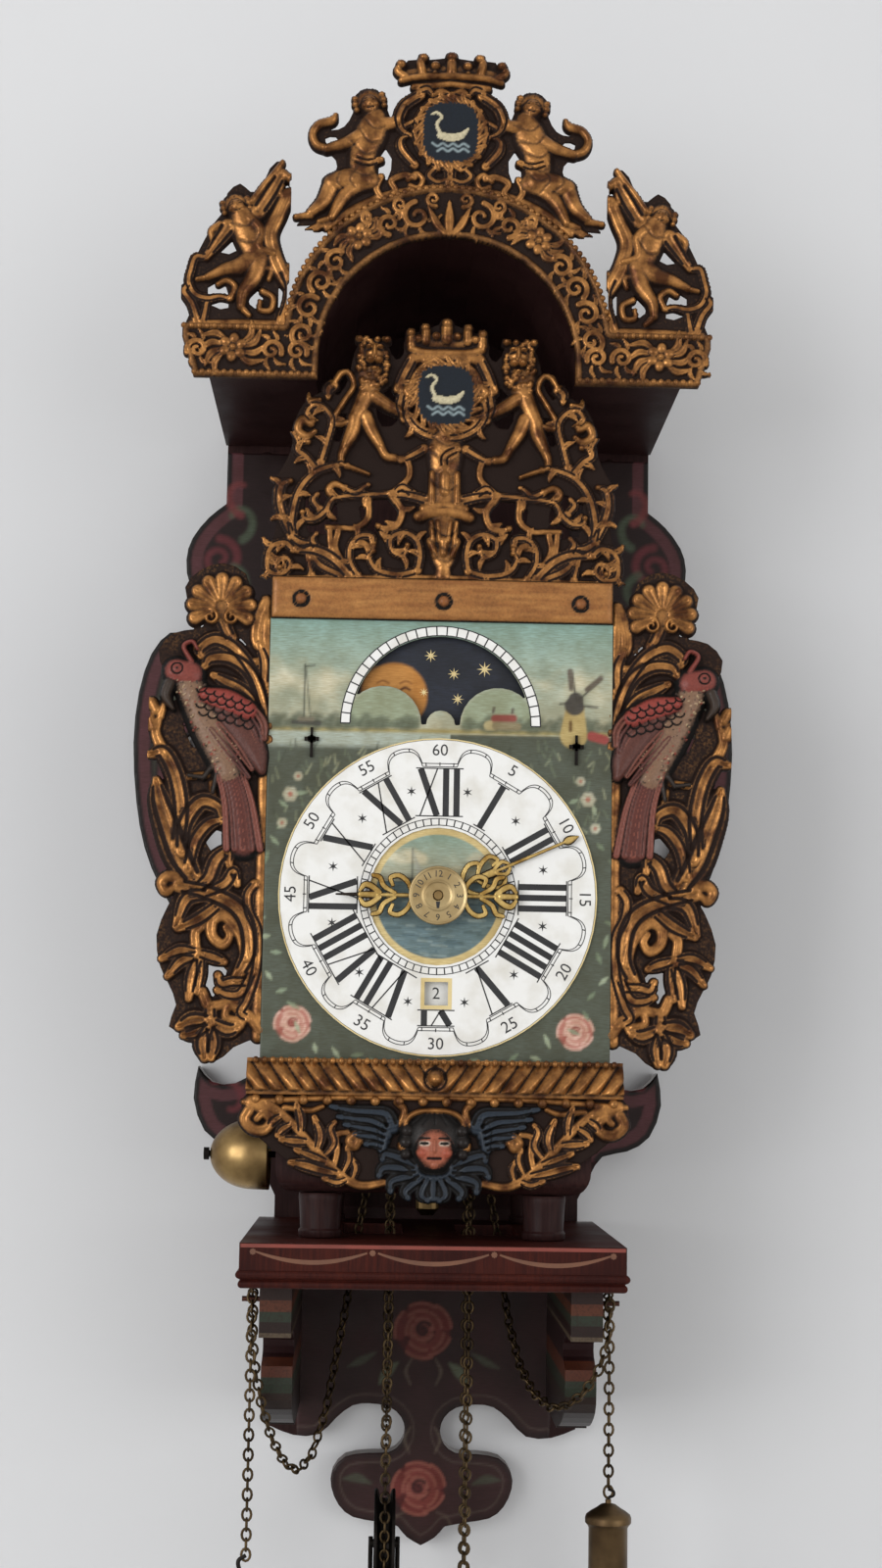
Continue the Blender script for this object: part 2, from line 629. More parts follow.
def make_hood_body(paint):
    rise_deg = math.degrees(math.asin((HOOD_SHOULDER_Z - HOOD_ARCH_Z) / HOOD_VAULT_OUT_R))
    loop = [(-HOOD_HALF, HOOD_BOTTOM_Z), (-HOOD_HALF, HOOD_SHOULDER_Z)]
    loop += arc((0, HOOD_ARCH_Z), HOOD_VAULT_OUT_R, 180 - rise_deg, rise_deg, 16)
    loop += [(HOOD_HALF, HOOD_SHOULDER_Z), (HOOD_HALF, HOOD_BOTTOM_Z), (HOOD_VAULT_IN_R, HOOD_BOTTOM_Z)]
    loop += arc((0, HOOD_ARCH_Z), HOOD_VAULT_IN_R, 0, 180, 16)
    loop.append((-HOOD_VAULT_IN_R, HOOD_BOTTOM_Z))
    prism("hood_body", [loop], "xz", HOOD_FRET_BACK_Y + SEAT_GAP, HOOD_BACK_Y, paint)


def make_hood_front(gilt):
    """Fascia with the arched opening, its frieze band and the two flank blocks."""
    rise_deg = math.degrees(math.asin((FRET_TOP_Z - FRET_BAND_Z) / FRET_BAND_R))
    right = [(FRET_OPEN_R, FRET_BOTTOM_Z), (FRET_BOTTOM_HALF, FRET_BOTTOM_Z)]
    right += [(FRET_TOP_HALF, FRET_TOP_Z - FRET_CHAMFER), (FRET_TOP_HALF, FRET_TOP_Z)]
    band = arc((0, FRET_BAND_Z), FRET_BAND_R, rise_deg, 180 - rise_deg, 20)
    opening = arc((0, HOOD_ARCH_Z), FRET_OPEN_R, 180, 0, 20)
    loop = right + band + [(-x, z) for x, z in reversed(right)] + opening
    prism("hood_front", [loop], "xz", -HOOD_FRONT_DEPTH, HOOD_FRET_BACK_Y, gilt)


def make_hood_crest(gilt):
    """Crown, shield and two seated figures over the arch, and a figure group over each flank."""
    base_z = FRET_BAND_Z + FRET_BAND_R
    upper = placed([
        (0, 65, CORNER), (11, 63.5), (21, 63), (22.5, 58), (19, 50), (17.5, 47), (21, 40), (23, 33.5),
        (29, 34), (32, 42), (40, 48), (46.5, 44), (47, 36), (51, 29), (57, 27), (63, 29.5), (67, 24),
        (65, 17), (57, 15), (54, 9), (58, -1), (64, -12), (73, -20.6, CORNER), (54, -19.4, CORNER),
    ], 0, base_z)
    half = curve_through(upper) + arc((0, FRET_BAND_Z), FRET_BAND_R + SEAT_GAP, 49, 90, 6)
    gap = closed_curve(placed([(30, 3), (36, 6), (39, 13), (34, 20), (28, 14)], 0, base_z))
    arm = closed_curve(placed([(52, 19), (58, 19), (60, 23), (55, 24)], 0, base_z))
    loops = [mirrored(half), gap, flipped(gap), arm, flipped(arm)]
    prism("hood_crest_centre", loops, "xz", -HOOD_FRONT_DEPTH, HOOD_FRET_BACK_Y, gilt)
    side = curve_through(placed([
        (-44.3, 0, CORNER), (-44.8, 20), (-41.3, 36), (-44.3, 50), (-46.3, 64), (-45.3, 80.5), (-39.3, 77),
        (-35.3, 67), (-30.3, 65), (-25.3, 69), (-19.3, 64), (-18.3, 56), (-13.3, 49), (-7.3, 37), (-3.3, 27),
        (-1.3, 17), (-4.3, 9), (-1.3, 0, CORNER),
    ], FRET_TOP_HALF, FRET_TOP_Z + SEAT_GAP))
    holes = [
        closed_curve(placed(points, FRET_TOP_HALF, FRET_TOP_Z))
        for points in (
            [(-37.3, 8), (-31.3, 10), (-30.3, 20), (-36.3, 22)],
            [(-21.3, 8), (-13.3, 9), (-11.3, 18), (-19.3, 20)],
            [(-24.3, 36), (-17.3, 35), (-16.3, 44), (-23.3, 46)],
        )
    ]
    depth = (-HOOD_FRONT_DEPTH, HOOD_FRET_BACK_Y)
    prism("hood_crest_right", [side, *holes], "xz", *depth, gilt)
    prism("hood_crest_left", [flipped(loop) for loop in (side, *holes)], "xz", *depth, gilt)


def slot_loops(grow=0.0):
    """The two chain slots, seen from above."""
    right = rectangle(SLOT_IN_X - grow, -SLOT_FRONT_DEPTH - grow, SLOT_OUT_X + grow, -SLOT_REAR_DEPTH + grow)
    return [right, flipped(right)]


def make_shelf(paint):
    front_y = -SHELF_DEPTH
    tray = rectangle(-SHELF_HALF, front_y, SHELF_HALF, HOOD_BACK_Y)
    base_half = SHELF_HALF - SHELF_BASE_STEP
    base = rectangle(-base_half, front_y + SHELF_BASE_STEP, base_half, HOOD_BACK_Y)
    made = prism("shelf", [tray, *slot_loops()], "xy", SHELF_TRAY_BOTTOM_Z, SHELF_TOP_Z, paint)
    lower = [base, *slot_loops(SHELF_SLOT_EASE)]
    under = prism("shelf_base_tool", lower, "xy", SHELF_BOTTOM_Z, SHELF_TRAY_BOTTOM_Z + FUSE_DEPTH, paint)
    fuse(made, under)


def make_bracket(name, side, paint, iron):
    """Stepped bracket under the shelf, with the nail that the alarm chain hangs on."""
    steps = curve_through(placed([
        (-12, 0, CORNER), (-12, -23.2, CORNER), (22, -23.5, CORNER), (32, -29), (31, -35),
        (18, -39.5, CORNER), (18, -55), (30, -63), (48, -69), (66, -72, CORNER),
    ], -NAIL_DEPTH, BRACKET_TOP_Z))
    foot_z = BRACKET_TOP_Z - BRACKET_HIGH
    profile = [(HOOD_BACK_Y, BRACKET_TOP_Z), *steps, (steps[-1][0], foot_z), (HOOD_BACK_Y, foot_z)]
    made = prism(name, [profile], "yz", side * (BRACKET_OUT - BRACKET_WIDE), side * BRACKET_OUT, paint)
    reach = (side * (BRACKET_OUT - BRACKET_WIDE / 2), side * (BRACKET_OUT + NAIL_OUT))
    nail = rod(name + "_nail_tool", NAIL_R, *reach, "x", (0, -NAIL_DEPTH, NAIL_Z), iron, 10)
    fuse(made, nail)


def make_stool(paint):
    seat = rectangle(-SEAT_HALF, -SEAT_FRONT_DEPTH, SEAT_HALF, -SEAT_REAR_DEPTH)
    slot_half = PENDULUM_SLOT_WIDE / 2
    swing = rectangle(
        -PENDULUM_SLOT_HALF, -PENDULUM_DEPTH - slot_half, PENDULUM_SLOT_HALF, -PENDULUM_DEPTH + slot_half
    )
    prism("stool_seat", [seat, *slot_loops(), swing], "xy", SEAT_BOTTOM_Z, SEAT_TOP_Z, paint)
    foot_z = SHELF_TOP_Z + SEAT_GAP
    for place, depth in (("front", LEG_FRONT_DEPTH), ("rear", LEG_REAR_DEPTH)):
        for hand, x in (("left", -LEG_X), ("right", LEG_X)):
            rod(f"stool_leg_{place}_{hand}", LEG_R, 0, LEG_HIGH, "z", (x, -depth, foot_z), paint, 20)


# Movement cage, bars and doors

def plate_loop():
    return rectangle(-PLATE_HALF, -PLATE_FRONT_DEPTH, PLATE_HALF, -PLATE_REAR_DEPTH)


def door_pin_holes():
    radius = DOOR_PIN_R + RUN_GAP
    return [circle((side * DOOR_AXIS_X, DOOR_AXIS_Y), radius, 12) for side in (-1, 1)]


def make_cage(iron):
    floor = [plate_loop(), *slot_loops(), *door_pin_holes()]
    prism("movement_bottom_plate", floor, "xy", CAGE_FLOOR_Z - PLATE_THICK, CAGE_FLOOR_Z, iron)
    top = (CAGE_CEILING_Z, CAGE_CEILING_Z + PLATE_THICK)
    cage = prism("movement_cage", [plate_loop(), *door_pin_holes()], "xy", *top, iron)
    half = POST_SIDE / 2
    for x in (-POST_X, POST_X):
        for depth in (POST_FRONT_DEPTH, POST_REAR_DEPTH):
            square = rectangle(x - half, -depth - half, x + half, -depth + half)
            span = (CAGE_FLOOR_Z + SEAT_GAP, CAGE_CEILING_Z + PLATE_THICK / 2)
            fuse(cage, prism(f"post_tool_{x:.3f}_{depth:.3f}", [square], "xy", *span, iron))


def make_bar(name, depth, brass, holes):
    strip = rectangle(-BAR_HALF, CAGE_FLOOR_Z + SEAT_GAP, BAR_HALF, CAGE_CEILING_Z - SEAT_GAP)
    loops = [strip] + [circle((0, z), radius + RUN_GAP, 12) for z, radius in holes]
    return prism(name, loops, "xz", -depth - BAR_THICK / 2, -depth + BAR_THICK / 2, brass)


def make_bars(brass):
    pivots = [(z, ARBOR_R) for z in (GREAT_Z, SECOND_Z, THIRD_Z, ANCHOR_Z)]
    make_bar("front_bar", FRONT_BAR_DEPTH, brass, [*pivots, (0, HOUR_ARBOR_R)])
    make_bar("middle_bar", MIDDLE_BAR_DEPTH, brass, pivots)
    back = make_bar("back_bar", BACK_BAR_DEPTH, brass, pivots)
    reach = (-ALARM_WHEEL_DEPTH - ALARM_WHEEL_WIDE / 2, -BACK_BAR_DEPTH)
    fuse(back, rod("alarm_stud_tool", ALARM_STUD_R, *reach, "y", (0, 0, ALARM_WHEEL_Z), brass))


def make_door(name, side, paint):
    leaf = rectangle(-DOOR_FRONT_DEPTH, DOOR_BOTTOM_Z, DOOR_AXIS_Y, DOOR_TOP_Z)
    origin = (side * DOOR_AXIS_X, DOOR_AXIS_Y, 0)
    made = prism(name, [leaf], "yz", side * DOOR_IN_X, side * (DOOR_IN_X + DOOR_THICK), paint, origin)
    ends = (CAGE_FLOOR_Z - PLATE_THICK / 2, CAGE_CEILING_Z + PLATE_THICK / 2)
    fuse(made, rod(name + "_pin_tool", DOOR_PIN_R, *ends, "z", origin, paint))


# Wheel trains

def toothed(name, teeth, module, z, depth, thick, tooth_deg, brass):
    loop = gear_loop((0, z), teeth, module, tooth_deg)
    return prism(name, [loop], "xz", -depth - thick / 2, -depth + thick / 2, brass, (0, 0, z))


def grooved(pitch_r, wide, depth):
    """Half profile of a chain wheel: two flanges with a round groove for the chain between them."""
    half = wide / 2
    groove_r = pitch_r - CHAIN_GROOVE
    return [(pitch_r, -depth - half), (groove_r, -depth - half / 4), (groove_r, -depth + half / 4),
            (pitch_r, -depth + half)]


def make_great_wheel(name, depth, ends, brass):
    """Arbor with its chain sprocket and great wheel."""
    sprocket = grooved(SPROCKET_PITCH_R, SPROCKET_WIDE, depth)
    front = -depth - SPROCKET_WIDE / 2
    back = -depth + SPROCKET_WIDE / 2
    profile = [(0, ends[0]), (ARBOR_R, ends[0]), (ARBOR_R, front), *sprocket, (ARBOR_R, back)]
    profile += [(ARBOR_R, ends[1]), (0, ends[1])]
    made = turned(name, profile, "y", (0, 0, GREAT_Z), brass)
    plane = depth + GREAT_PLANE
    fuse(made, toothed(name + "_teeth", GREAT_TEETH, GREAT_MODULE, GREAT_Z, plane, WHEEL_THICK, 90, brass))
    return made


def make_second_wheel(name, depth, ends, brass):
    made = rod(name, ARBOR_R, *ends, "y", (0, 0, SECOND_Z), brass)
    turn = mating_deg(90, SECOND_LEAVES)
    leaves = (SECOND_LEAVES, GREAT_MODULE, SECOND_Z, depth + GREAT_PLANE, PINION_LONG, turn)
    teeth = (SECOND_TEETH, SECOND_MODULE, SECOND_Z, depth - SECOND_PLANE, WHEEL_THICK, 90)
    fuse(made, toothed(name + "_leaves", *leaves, brass), toothed(name + "_teeth", *teeth, brass))


def make_third_arbor(name, depth, ends, brass):
    made = rod(name, ARBOR_R, *ends, "y", (0, 0, THIRD_Z), brass)
    turn = mating_deg(90, THIRD_LEAVES)
    leaves = (THIRD_LEAVES, SECOND_MODULE, THIRD_Z, depth - SECOND_PLANE, PINION_LONG, turn)
    fuse(made, toothed(name + "_leaves", *leaves, brass))
    return made


def make_escape_wheel(ends, brass):
    made = make_third_arbor("escape_wheel", GOING_DEPTH, ends, brass)
    loop = []
    for i in range(ESCAPE_TEETH):
        tip = math.tau * i / ESCAPE_TEETH
        for radius, turn in ((ESCAPE_R, 0), (ESCAPE_R - ESCAPE_TOOTH, ESCAPE_RAKE)):
            angle = tip + math.radians(turn)
            loop.append((radius * math.cos(angle), THIRD_Z + radius * math.sin(angle)))
    plane = -GOING_DEPTH - GREAT_PLANE
    fuse(made, prism("escape_teeth", [loop], "xz", plane - WHEEL_THICK / 2, plane + WHEEL_THICK / 2, brass))


def make_fly(ends, brass):
    made = make_third_arbor("strike_fly", STRIKE_DEPTH, ends, brass)
    plane = -STRIKE_DEPTH - GREAT_PLANE
    blade = rectangle(-FLY_HALF, THIRD_Z - FLY_THICK, FLY_HALF, THIRD_Z + FLY_THICK)
    fuse(made, prism("fly_blade", [blade], "xz", plane - FLY_LONG / 2, plane + FLY_LONG / 2, brass))


def make_trains(brass):
    middle_front = -MIDDLE_BAR_DEPTH - SEAT_GAP
    middle_back = -MIDDLE_BAR_DEPTH + SEAT_GAP
    going = (-FRONT_BAR_DEPTH, middle_front)
    strike = (middle_back, -BACK_BAR_DEPTH)
    motion_end = -MINUTE_WHEEL_DEPTH - WHEEL_THICK
    great = make_great_wheel("going_great_wheel", GOING_DEPTH, (motion_end, middle_front), brass)
    minute = (MINUTE_TEETH, MINUTE_MODULE, GREAT_Z, MINUTE_WHEEL_DEPTH, WHEEL_THICK, 90)
    hour = (HOUR_LEAVES, HOUR_MODULE, GREAT_Z, HOUR_WHEEL_DEPTH, PINION_LONG, 90)
    fuse(great, toothed("motion_wheel", *minute, brass), toothed("hour_pinion", *hour, brass))
    make_second_wheel("going_second_wheel", GOING_DEPTH, going, brass)
    make_escape_wheel(going, brass)
    make_great_wheel("strike_great_wheel", STRIKE_DEPTH, strike, brass)
    make_second_wheel("strike_second_wheel", STRIKE_DEPTH, strike, brass)
    make_fly(strike, brass)


def make_alarm_wheel(brass):
    half = ALARM_WHEEL_WIDE / 2
    bore = ALARM_STUD_R + RUN_GAP
    rim = grooved(ALARM_WHEEL_PITCH_R, ALARM_WHEEL_WIDE, ALARM_WHEEL_DEPTH)
    profile = [(bore, -ALARM_WHEEL_DEPTH - half), *rim, (bore, -ALARM_WHEEL_DEPTH + half)]
    turned("alarm_wheel", profile, "y", (0, 0, ALARM_WHEEL_Z), brass, 20, closed=True)


def make_anchor(steel):
    """Anchor arbor with its two pallets in front and the crutch behind."""
    rear = -PENDULUM_DEPTH + 2 * PENDULUM_EYE_HALF
    made = rod("anchor", ARBOR_R, -FRONT_BAR_DEPTH, rear, "y", (0, 0, ANCHOR_Z), steel)
    reach = ESCAPE_R + ANCHOR_PALLET_CLEAR
    tip, heel = arc((0, THIRD_Z), reach, 40, 55, 1)
    hub = ANCHOR_HUB_R
    half = [(0, ANCHOR_Z + hub), (hub, ANCHOR_Z + ARBOR_R), (tip[0] + ARBOR_R, tip[1] + ARBOR_R)]
    half += [tip, heel, (hub, ANCHOR_Z - hub), (0, ANCHOR_Z - hub)]
    plane = -GOING_DEPTH - GREAT_PLANE
    span = (plane - WHEEL_THICK, plane + WHEEL_THICK)
    pallets = prism("pallet_tool", [mirrored(half)], "xz", *span, steel)
    strap = rectangle(-CRUTCH_HALF, ANCHOR_Z - CRUTCH_LONG, CRUTCH_HALF, ANCHOR_Z + CRUTCH_HALF)
    strap_back = -PENDULUM_DEPTH - PENDULUM_EYE_HALF - SEAT_GAP
    crutch = prism("crutch_tool", [strap], "xz", strap_back - CRUTCH_THICK, strap_back, steel)
    fuse(made, pallets, crutch)


def make_pendulum(brass):
    half = PENDULUM_ROD_R
    eye = [circle((0, ANCHOR_Z), PENDULUM_EYE_R, 16), circle((0, ANCHOR_Z), ARBOR_R + RUN_GAP, 12)]
    span = (-PENDULUM_DEPTH - PENDULUM_EYE_HALF, -PENDULUM_DEPTH + PENDULUM_EYE_HALF)
    made = prism("pendulum", eye, "xz", *span, brass, (0, -PENDULUM_DEPTH, ANCHOR_Z))
    eye_middle = ANCHOR_Z - (PENDULUM_EYE_R + ARBOR_R + RUN_GAP) / 2
    centre = (0, -PENDULUM_DEPTH, 0)
    wire = rod("pendulum_rod_tool", half, PENDULUM_BOB_Z, eye_middle, "z", centre, brass, 8)
    high = PENDULUM_BOB_HIGH / 2
    wide = PENDULUM_BOB_R
    pear = [(0, -high), (wide / 2, -high), (wide, -high / 2), (wide, high / 4), (wide / 3, high), (0, high)]
    bob = turned("bob_tool", pear, "z", (0, -PENDULUM_DEPTH, PENDULUM_BOB_Z), brass)
    fuse(made, wire, bob)


# Dial, motion work and hands

def moon_opening():
    """Arched opening over three humps, which hide the moon as it rises and sets."""
    hump_x = MOON_HUMP_X
    meet_x = (MOON_OPEN_R ** 2 - MOON_HUMP_R ** 2 + hump_x ** 2) / (2 * hump_x)
    meet_z = math.sqrt(MOON_OPEN_R ** 2 - meet_x ** 2)
    arch_deg = math.degrees(math.atan2(meet_z, meet_x))
    hump_deg = math.degrees(math.atan2(meet_z, meet_x - hump_x))
    loop = arc((0, MOON_Z), MOON_OPEN_R, arch_deg, 180 - arch_deg, 20)
    loop += arc((-hump_x, MOON_Z), MOON_HUMP_R, 180 - hump_deg, 0, 10)[1:]
    loop += arc((0, MOON_Z), MOON_MIDDLE_HUMP_R, 180, 0, 8)
    loop += arc((hump_x, MOON_Z), MOON_HUMP_R, 180, hump_deg, 10)[:-1]
    return loop


def date_window():
    half = DATE_WINDOW_HALF
    return rectangle(-half, DATE_WINDOW_Z - half, half, DATE_WINDOW_Z + half)


def make_dial(dial_paint, enamel, iron):
    plate = rectangle(-DIAL_HALF, DIAL_BOTTOM_Z, DIAL_HALF, DIAL_TOP_Z)
    pipe_hole = circle((0, 0), MINUTE_PIPE_R + RUN_GAP, 16)
    loops = [plate, moon_opening(), date_window(), pipe_hole]
    made = prism("dial_plate", loops, "xz", -DIAL_DEPTH, DIAL_BACK_Y, dial_paint)
    foot_end = -POST_FRONT_DEPTH - POST_SIDE / 2 - SEAT_GAP
    root = DIAL_BACK_Y - DIAL_THICK / 2
    for x in (-POST_X, POST_X):
        for z in (DIAL_FOOT_BOTTOM_Z, DIAL_FOOT_TOP_Z):
            name = f"foot_tool_{x:.3f}_{z:.3f}"
            fuse(made, rod(name, DIAL_FOOT_R, root, foot_end, "y", (x, 0, z), iron, 10))
    stud_end = -MOON_DISC_DEPTH + 2 * DISC_THICK
    fuse(made, rod("moon_stud_tool", MOON_STUD_R, root, stud_end, "y", (0, 0, MOON_Z), iron))
    ring = [circle((0, 0), CHAPTER_R, 64), circle((0, 0), CHAPTER_IN_R, 32), date_window()]
    prism("chapter_ring", ring, "xz", CHAPTER_BACK_Y - CHAPTER_THICK, CHAPTER_BACK_Y, enamel)
    disc_half = DISC_THICK / 2
    date = [circle((0, 0), DATE_DISC_R, 40), circle((0, 0), MINUTE_PIPE_R + RUN_GAP, 16)]
    prism("date_disc", date, "xz", -DATE_DISC_DEPTH - disc_half, -DATE_DISC_DEPTH + disc_half, enamel)
    moon = [circle((0, MOON_Z), MOON_DISC_R, 40), circle((0, MOON_Z), MOON_STUD_R + RUN_GAP, 12)]
    moon_span = (-MOON_DISC_DEPTH - disc_half, -MOON_DISC_DEPTH + disc_half)
    prism("moon_disc", moon, "xz", *moon_span, dial_paint, (0, 0, MOON_Z))


def make_motion_work(brass):
    hour = rod("hour_wheel", HOUR_ARBOR_R, -HOUR_ARBOR_FRONT, -FRONT_BAR_DEPTH, "y", (0, 0, 0), brass)
    hour_turn = mating_deg(90, HOUR_TEETH)
    teeth = (HOUR_TEETH, HOUR_MODULE, 0, HOUR_WHEEL_DEPTH, WHEEL_THICK, hour_turn)
    fuse(hour, toothed("hour_teeth", *teeth, brass))
    bore = HOUR_ARBOR_R + RUN_GAP
    front = -MINUTE_HAND_DEPTH - SEAT_GAP
    back = -MINUTE_WHEEL_DEPTH + WHEEL_THICK / 2
    pipe = [(bore, front), (MINUTE_PIPE_R, front), (MINUTE_PIPE_R, back), (bore, back)]
    minute = turned("minute_wheel", pipe, "y", (0, 0, 0), brass, 16, closed=True)
    teeth = gear_loop((0, 0), MINUTE_TEETH, MINUTE_MODULE, mating_deg(90, MINUTE_TEETH))
    inside = circle((0, 0), (bore + MINUTE_PIPE_R) / 2, 16)
    span = (back - WHEEL_THICK, back - FUSE_DEPTH / 2)
    fuse(minute, prism("minute_teeth", [teeth, inside], "xz", *span, brass))


def hand_loop(hub_r, blade, clock_deg):
    """Round hub and pierced blade, laid along a direction counted clockwise from the top of the dial."""
    start_deg = math.degrees(math.atan2(blade[0][1], blade[0][0]))
    upper = arc((0, 0), hub_r, 180, start_deg, 6)[:-1] + blade
    outline = upper + [(along, -out) for along, out in reversed(upper[1:-1])]
    turn = math.radians(90 - clock_deg)
    cosine = math.cos(turn)
    sine = math.sin(turn)
    return [(along * cosine - out * sine, along * sine + out * cosine) for along, out in outline]


def make_hands(brass):
    minute_blade = curve_through(in_mm([
        (6.3, 2.6, CORNER), (13, 3), (17, 8), (24, 9), (30, 6), (34, 1.6, CORNER), (64, 1, CORNER),
        (66, 2.8, CORNER),
    ])) + [(MINUTE_HAND_LONG, 0)]
    outline = hand_loop(MINUTE_HUB_R, minute_blade, MINUTE_HAND_DEG)
    loops = [outline, circle((0, 0), MINUTE_PIPE_R + RUN_GAP, 16)]
    prism("minute_hand", loops, "xz", -MINUTE_HAND_DEPTH, -MINUTE_HAND_DEPTH + HAND_THICK, brass)
    hour_blade = curve_through(in_mm([
        (5, 2.6, CORNER), (12, 3), (15, 9), (22, 11), (30, 7), (34, 2, CORNER),
    ])) + [(HOUR_HAND_LONG, 0)]
    outline = hand_loop(HOUR_HUB_R, hour_blade, HOUR_HAND_DEG)
    loops = [outline, circle((0, 0), HOUR_ARBOR_R + RUN_GAP, 16)]
    prism("hour_hand", loops, "xz", -HOUR_HAND_DEPTH, -HOUR_HAND_DEPTH + HAND_THICK, brass)
    disc = [circle((0, 0), ALARM_DISC_R, 28), circle((0, 0), HOUR_ARBOR_R + RUN_GAP, 16)]
    prism("alarm_disc", disc, "xz", -ALARM_DISC_DEPTH, -ALARM_DISC_DEPTH + DISC_THICK, brass)


def make_dial_ornaments(gilt):
    rail = rectangle(-DIAL_HALF, RAIL_BOTTOM_Z, DIAL_HALF, DIAL_TOP_Z)
    prism("dial_head_rail", [rail], "xz", CHAPTER_BACK_Y - RAIL_THICK, CHAPTER_BACK_Y, gilt)
    back = -DIAL_DEPTH + ORNAMENT_THICK
    half = curve_through(placed([
        (0, 126, CORNER), (7, 123.5), (13, 121), (19.5, 118), (20.5, 110), (24, 107), (29, 113), (36, 116),
        (44, 110), (46, 99), (51, 89), (60, 90), (68, 84), (72, 74), (73, 62), (77, 53), (81, 45), (79, 33),
        (80, 20), (85, 11), (84, 0, CORNER), (0, 0, CORNER),
    ], 0, DIAL_CREST_Z))
    holes = [
        closed_curve(placed(points, 0, DIAL_CREST_Z))
        for points in (
            [(22, 78), (30, 74), (33, 84), (26, 94)],
            [(42, 70), (52, 66), (56, 76), (46, 80)],
            [(20, 28), (34, 22), (40, 34), (26, 42)],
            [(50, 24), (64, 22), (66, 38), (54, 42)],
        )
    ]
    loops = [mirrored(half), *holes, *[flipped(hole) for hole in holes]]
    prism("dial_crest", loops, "xz", -DIAL_DEPTH, back, gilt)
    side = curve_through(placed([
        (0, 128, CORNER), (5, 132), (9, 140), (12, 151), (23, 156), (34, 152), (40.5, 144), (37, 134),
        (30, 127), (36, 124), (45, 122), (52, 114), (49, 103), (42, 92), (50, 84), (53, 72), (48, 60),
        (42, 52), (49, 42), (47, 30), (41, 18), (38, 6), (44, -6), (49, -20), (47, -34), (43, -42),
        (39, -52), (42, -62), (31, -68), (21, -78), (12, -71), (0, -66, CORNER),
    ], ORNAMENT_IN_X, 0))
    gaps = [
        closed_curve(placed(points, ORNAMENT_IN_X, 0))
        for points in (
            [(10, 116), (18, 122), (22, 114), (14, 108)],
            [(27, 62), (36, 70), (40, 82), (32, 78)],
            [(14, 14), (24, 18), (28, 28), (18, 28)],
            [(16, -36), (26, -30), (32, -40), (22, -48)],
        )
    ]
    prism("dial_side_right", [side, *gaps], "xz", -DIAL_DEPTH, back, gilt)
    prism("dial_side_left", [flipped(loop) for loop in (side, *gaps)], "xz", -DIAL_DEPTH, back, gilt)
    front_y = -CORNICE_DEPTH
    top_y = (CHAPTER_BACK_Y + front_y) / 2
    middle_z = (CORNICE_TOP_Z + DIAL_BOTTOM_Z) / 2
    foot = (front_y, DIAL_BOTTOM_Z, CORNER)
    swell = curve_through([(top_y, CORNICE_TOP_Z, CORNER), (front_y, middle_z), foot], 3)
    profile = [(CHAPTER_BACK_Y, CORNICE_TOP_Z), *swell, (CHAPTER_BACK_Y, DIAL_BOTTOM_Z)]
    prism("dial_cornice", [profile], "yz", -CORNICE_HALF, CORNICE_HALF, gilt)
    drop = -APRON_DROP
    half = [(0, APRON_TOP_Z)] + curve_through(placed([
        (86, 0, CORNER), (88, -8), (80, -19), (67, -29), (56, -35), (45, -33), (35, -40), (20, -40.5),
    ], 0, APRON_TOP_Z) + [(0, APRON_TOP_Z + drop)])
    holes = [
        closed_curve(placed(points, 0, APRON_TOP_Z))
        for points in (
            [(62, -8), (72, -7), (70, -15), (62, -18)],
            [(42, -20), (52, -20), (50, -27), (43, -27)],
        )
    ]
    loops = [mirrored(half), *holes, *[flipped(hole) for hole in holes]]
    prism("dial_apron", loops, "xz", -APRON_DEPTH, -APRON_DEPTH + ORNAMENT_THICK, gilt)


# Bell and hammer

def make_bell(brass, iron):
    bore = BELL_POST_R + RUN_GAP
    centre = (0, -BELL_DEPTH, BELL_Z)

    def wall(radius, long):
        last_deg = math.degrees(math.acos(bore / radius))
        found = [(radius, BELL_MOUTH_X)]
        for i in range(6):
            angle = math.radians(last_deg * i / 5)
            rise = BELL_SKIRT + (long - BELL_SKIRT) * math.sin(angle)
            found.append((radius * math.cos(angle), BELL_MOUTH_X - rise))
        return found

    outer = wall(BELL_R, BELL_LONG)
    inner = wall(BELL_R - BELL_WALL, BELL_LONG - BELL_WALL)
    turned("bell", outer + inner[::-1], "x", centre, brass, 20, closed=True)
    start = -SEAT_HALF - SEAT_GAP
    nut = BELL_MOUTH_X - BELL_LONG - SEAT_GAP
    end = nut - BELL_NUT_LONG
    shank = [(0, start), (BELL_POST_R, start), (BELL_POST_R, nut)]
    turned("bell_post", shank + [(BELL_NUT_R, nut), (BELL_NUT_R, end), (0, end)], "x", centre, iron, 12)


def make_hammer(steel):
    pivot = (-POST_X, HAMMER_Z)
    head = (HAMMER_HEAD_X, HAMMER_HEAD_Z)
    bend = (BELL_MOUTH_X, head[1] + HAMMER_ARM_HALF)
    half = POST_SIDE / 2 + SEAT_GAP
    ends = (-POST_FRONT_DEPTH + half, -POST_REAR_DEPTH - half)
    made = rod("hammer", ARBOR_R, *ends, "y", (pivot[0], 0, pivot[1]), steel)
    spine = [pivot, bend, head]
    wide = HAMMER_ARM_HALF
    arm = [(x, z + wide) for x, z in spine] + [(x, z - wide) for x, z in reversed(spine)]
    bar = prism("hammer_arm_tool", [arm], "xz", -BELL_DEPTH - wide, -BELL_DEPTH + wide, steel)
    ends = (-BELL_DEPTH - HAMMER_HEAD_R, -BELL_DEPTH + HAMMER_HEAD_R)
    fuse(made, bar, rod("hammer_head_tool", HAMMER_HEAD_R, *ends, "y", (head[0], 0, head[1]), steel))


# Weights and chains

